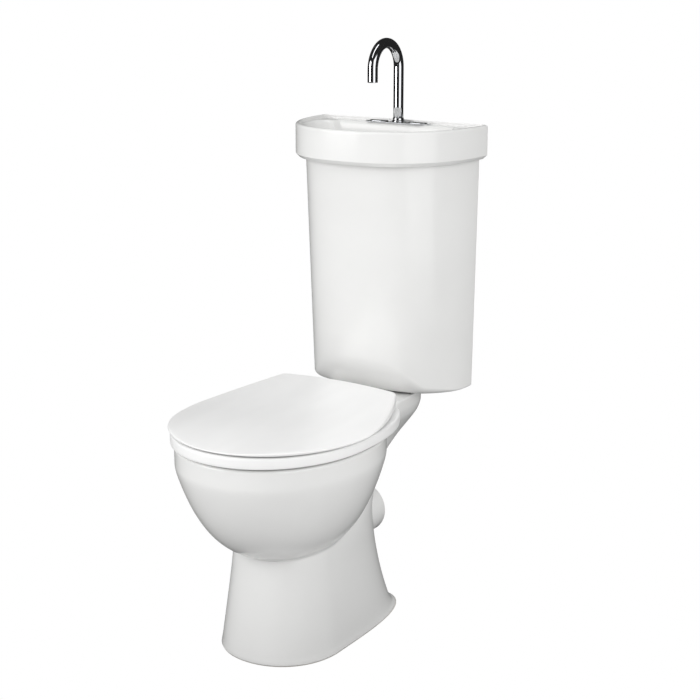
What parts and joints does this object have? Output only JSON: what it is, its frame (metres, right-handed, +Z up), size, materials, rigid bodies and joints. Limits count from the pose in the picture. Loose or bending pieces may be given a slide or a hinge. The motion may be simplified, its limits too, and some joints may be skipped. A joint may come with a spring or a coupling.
{
  "type": "toilet with basin on the cistern",
  "caption": "Close-coupled toilet whose cistern carries a hand basin with a gooseneck spout; clean refill water washes hands first. Hinged seat and lid, dual-flush push buttons.",
  "frame": {"origin": "floor level, under the middle of the overall width and depth", "axes": "+X to the right as the user faces it, +Y towards the wall, +Z up"},
  "size_m": [0.391, 0.666, 1.127],
  "materials": {
    "china": "white gloss glaze",
    "white_plastic": "white gloss",
    "chrome": "polished",
    "steel": "drawn",
    "rubber": "matte black",
    "valve_plastic": "moulded",
    "blue_plastic": "moulded",
    "hose": "plain"
  },
  "bodies": {
    "fixture": {"pan": "china", "cistern": "china", "basin": "china", "hinge_posts": "white_plastic", "hinge_pins": "steel", "seat_bolts": "steel", "seat_bolt_washers": "rubber", "seat_bolt_nuts": "white_plastic", "deck_pad": "rubber", "outlet_seal": "rubber", "outlet_back_nut": "white_plastic", "coupling_bolts": "steel", "coupling_washers": "rubber", "coupling_nuts": "white_plastic", "outlet_valve_body": "valve_plastic", "rocker_pin": "steel", "button_plate": "chrome", "spout": "chrome", "spout_collar": "chrome", "spout_nut": "steel", "riser_hose": "hose", "basin_waste": "chrome", "basin_waste_nut": "white_plastic", "inlet_valve": "valve_plastic", "inlet_washer": "rubber", "inlet_nut": "white_plastic", "float_pin": "steel"},
    "seat": {"seat": "white_plastic", "seat_buffers": "white_plastic"},
    "lid": {"lid": "white_plastic", "lid_buffers": "white_plastic"},
    "full_flush_press": {"full_flush_button": "chrome", "full_flush_rod": "valve_plastic"},
    "half_flush_press": {"half_flush_button": "chrome", "half_flush_rod": "blue_plastic"},
    "full_flush_lever": {"full_flush_rocker": "valve_plastic"},
    "half_flush_lever": {"half_flush_rocker": "blue_plastic"},
    "valve": {"valve_stem": "blue_plastic", "valve_seal": "rubber"},
    "float": {"float_arm": "valve_plastic", "float": "blue_plastic"}
  },
  "joints": [
    {"name": "seat_hinge", "type": "hinge", "parent": "fixture", "child": "seat", "pos_m": [0, 0.107, 0.437], "axis": [-1, 0, 0], "range_deg": [0, 90]},
    {"name": "lid_hinge", "type": "hinge", "parent": "seat", "child": "lid", "pos_m": [0, 0.107, 0.437], "axis": [1, 0, 0], "range_deg": [-90, 0]},
    {"name": "full_flush_travel", "type": "slide", "parent": "fixture", "child": "full_flush_press", "axis": [0, 0, -1], "range_m": [0, 0.008], "stiffness_N_per_m": 300, "springref_m": -0.005},
    {"name": "half_flush_travel", "type": "slide", "parent": "fixture", "child": "half_flush_press", "axis": [0, 0, -1], "range_m": [0, 0.008], "stiffness_N_per_m": 300, "springref_m": -0.005},
    {"name": "full_flush_tilt", "type": "hinge", "parent": "fixture", "child": "full_flush_lever", "pos_m": [0, 0.277, 0.705], "axis": [-1, 0, 0], "range_deg": [0, 15.5]},
    {"name": "half_flush_tilt", "type": "hinge", "parent": "fixture", "child": "half_flush_lever", "pos_m": [0, 0.277, 0.705], "axis": [-1, 0, 0], "range_deg": [0, 15.5]},
    {"name": "valve_lift", "type": "slide", "parent": "fixture", "child": "valve", "axis": [0, 0, 1], "range_m": [0, 0.0098]},
    {"name": "float_hinge", "type": "hinge", "parent": "fixture", "child": "float", "pos_m": [-0.095, 0.271, 0.814], "axis": [0, 1, 0], "range_deg": [0, 25]}
  ],
  "couplings": [
    {"joint": "full_flush_tilt", "follows": "full_flush_travel", "rad_per_m": 33.75},
    {"joint": "half_flush_tilt", "follows": "half_flush_travel", "rad_per_m": 33.75},
    {"joint": "valve_lift", "follows": "full_flush_travel", "ratio": 1.225}
  ]
}
